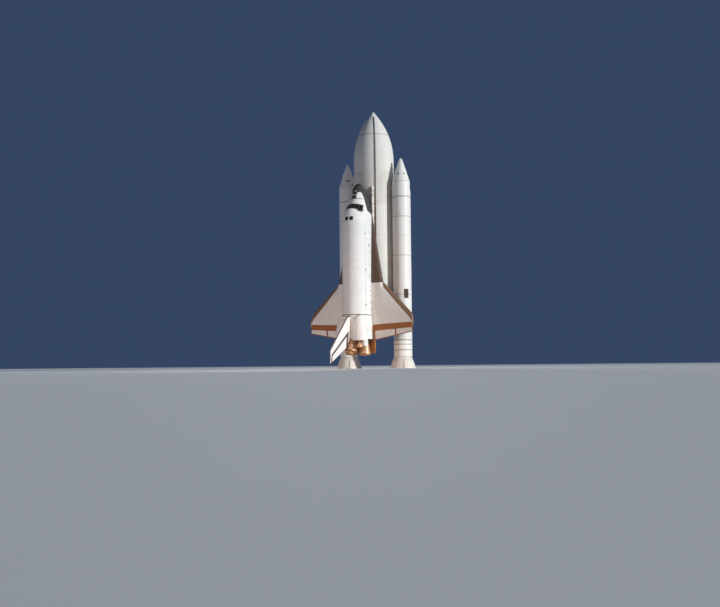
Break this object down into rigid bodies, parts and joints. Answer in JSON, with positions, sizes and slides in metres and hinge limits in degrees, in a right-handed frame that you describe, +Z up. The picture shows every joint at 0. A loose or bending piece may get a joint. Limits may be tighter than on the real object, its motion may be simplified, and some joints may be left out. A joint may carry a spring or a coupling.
{
  "type": "space shuttle launch stack",
  "caption": "Space shuttle as it stands for launch: a winged orbiter on the side of a large external tank, between two solid rocket boosters, as a scale model at 1:2",
  "frame": {"origin": "on the floor under the middle of the stack as seen from above, at the height of the booster skirts' feet", "axes": "+Z up, towards the noses; +X towards the right wing of the orbiter; -Y towards the side that the orbiter's back faces, so the tank and boosters lie on the +Y side of the orbiter"},
  "size_m": [11.8948, 11.6713, 27.319],
  "materials": {
    "tank_foam": "painted foam, matt",
    "line_foam": "painted foam, matt",
    "booster_paint": "white paint, slightly streaked",
    "strut_paint": "painted metal",
    "nozzle_shell": "dull dark composite",
    "white_tile": "matt white tiles and blankets",
    "black_tile": "satin black tiles",
    "carbon_shell": "dark grey carbon shell",
    "engine_metal": "heat-stained metal",
    "window_glass": "dark glass"
  },
  "bodies": {
    "stack": {"oxygen_tank": "tank_foam", "hydrogen_tank": "tank_foam", "intertank": "tank_foam", "oxygen_feed_line": "line_foam", "cable_tray_right": "line_foam", "gas_line_left": "line_foam", "booster_right_nose": "booster_paint", "booster_right_forward_skirt": "booster_paint", "booster_right_forward_segment": "booster_paint", "booster_right_forward_centre_segment": "booster_paint", "booster_right_aft_centre_segment": "booster_paint", "booster_right_aft_segment": "booster_paint", "booster_right_aft_skirt": "booster_paint", "booster_left_nose": "booster_paint", "booster_left_forward_skirt": "booster_paint", "booster_left_forward_segment": "booster_paint", "booster_left_forward_centre_segment": "booster_paint", "booster_left_aft_centre_segment": "booster_paint", "booster_left_aft_segment": "booster_paint", "booster_left_aft_skirt": "booster_paint", "forward_bipod": "strut_paint", "aft_attach_frame": "strut_paint", "booster_right_struts": "strut_paint", "booster_left_struts": "strut_paint", "nose_cap": "carbon_shell", "forward_fuselage": "white_tile", "windshield_glass": "window_glass", "overhead_glass": "window_glass", "mid_fuselage": "white_tile", "wing_right": "white_tile", "wing_left": "white_tile", "aft_fuselage": "white_tile", "vertical_tail": "white_tile", "manoeuvring_pod_right": "white_tile", "manoeuvring_pod_left": "white_tile"},
    "booster_right_nozzle": {"booster_right_nozzle": "nozzle_shell"},
    "booster_left_nozzle": {"booster_left_nozzle": "nozzle_shell"},
    "crew_hatch": {"crew_hatch": "white_tile"},
    "payload_door_right": {"payload_door_right": "white_tile"},
    "payload_door_left": {"payload_door_left": "white_tile"},
    "elevon_right_inboard": {"elevon_right_inboard": "white_tile"},
    "elevon_right_outboard": {"elevon_right_outboard": "white_tile"},
    "elevon_left_inboard": {"elevon_left_inboard": "white_tile"},
    "elevon_left_outboard": {"elevon_left_outboard": "white_tile"},
    "body_flap": {"body_flap": "black_tile"},
    "main_engine_upper": {"main_engine_upper": "engine_metal"},
    "main_engine_right": {"main_engine_right": "engine_metal"},
    "main_engine_left": {"main_engine_left": "engine_metal"},
    "rudder_left": {"rudder_left": "white_tile"},
    "rudder_right": {"rudder_right": "white_tile"}
  },
  "joints": [
    {"name": "booster_right_nozzle_hinge", "type": "hinge", "parent": "stack", "child": "booster_right_nozzle", "pos_m": [3.18135, 3.7211, 0.87122], "axis": [1, 0, 0], "range_deg": [-8, 8]},
    {"name": "booster_left_nozzle_hinge", "type": "hinge", "parent": "stack", "child": "booster_left_nozzle", "pos_m": [-3.18135, 3.7211, 0.87122], "axis": [1, 0, 0], "range_deg": [-8, 8]},
    {"name": "crew_hatch_hinge", "type": "hinge", "parent": "stack", "child": "crew_hatch", "pos_m": [-1.22072, 0.40005, 16.06042], "axis": [0, 0, -1], "range_deg": [0, 90]},
    {"name": "payload_door_right_hinge", "type": "hinge", "parent": "stack", "child": "payload_door_right", "pos_m": [1.37795, -0.80645, 13.62202], "axis": [0, 0, 1], "range_deg": [0, 175.5]},
    {"name": "payload_door_left_hinge", "type": "hinge", "parent": "stack", "child": "payload_door_left", "pos_m": [-1.37795, -0.80645, 13.62202], "axis": [0, 0, -1], "range_deg": [0, 175.5]},
    {"name": "elevon_right_inboard_hinge", "type": "hinge", "parent": "stack", "child": "elevon_right_inboard", "pos_m": [1.5367, 0.68025, 4.38912], "axis": [0.9983, -0.0587, 0], "range_deg": [-35, 20]},
    {"name": "elevon_right_outboard_hinge", "type": "hinge", "parent": "stack", "child": "elevon_right_outboard", "pos_m": [3.99415, 0.53595, 4.38912], "axis": [0.9986, -0.0521, 0], "range_deg": [-35, 20]},
    {"name": "elevon_left_inboard_hinge", "type": "hinge", "parent": "stack", "child": "elevon_left_inboard", "pos_m": [-1.5367, 0.68025, 4.38912], "axis": [0.9983, 0.0587, 0], "range_deg": [-35, 20]},
    {"name": "elevon_left_outboard_hinge", "type": "hinge", "parent": "stack", "child": "elevon_left_outboard", "pos_m": [-3.99415, 0.53595, 4.38912], "axis": [0.9986, 0.0521, 0], "range_deg": [-35, 20]},
    {"name": "body_flap_hinge", "type": "hinge", "parent": "stack", "child": "body_flap", "pos_m": [0, 0.89535, 2.54762], "axis": [1, 0, 0], "range_deg": [-11.7, 22.55]},
    {"name": "main_engine_upper_hinge", "type": "hinge", "parent": "stack", "child": "main_engine_upper", "pos_m": [0, -1.09855, 3.65252], "axis": [1, 0, 0], "range_deg": [-10.5, 10.5]},
    {"name": "main_engine_right_hinge", "type": "hinge", "parent": "stack", "child": "main_engine_right", "pos_m": [0.6731, 0.17653, 3.35788], "axis": [0.9981, 0.0053, 0.0609], "range_deg": [-10.5, 10.5]},
    {"name": "main_engine_left_hinge", "type": "hinge", "parent": "stack", "child": "main_engine_left", "pos_m": [-0.6731, 0.17653, 3.35788], "axis": [0.9981, -0.0053, -0.0609], "range_deg": [-10.5, 10.5]},
    {"name": "rudder_left_hinge", "type": "hinge", "parent": "stack", "child": "rudder_left", "pos_m": [0, -2.53365, 3.26226], "axis": [0, 0.8219, 0.5696], "range_deg": [-27.1, 49.3]},
    {"name": "rudder_right_hinge", "type": "hinge", "parent": "rudder_left", "child": "rudder_right", "pos_m": [0, -2.53365, 3.26226], "axis": [0, -0.8219, -0.5696], "range_deg": [0, 98.6]}
  ]
}
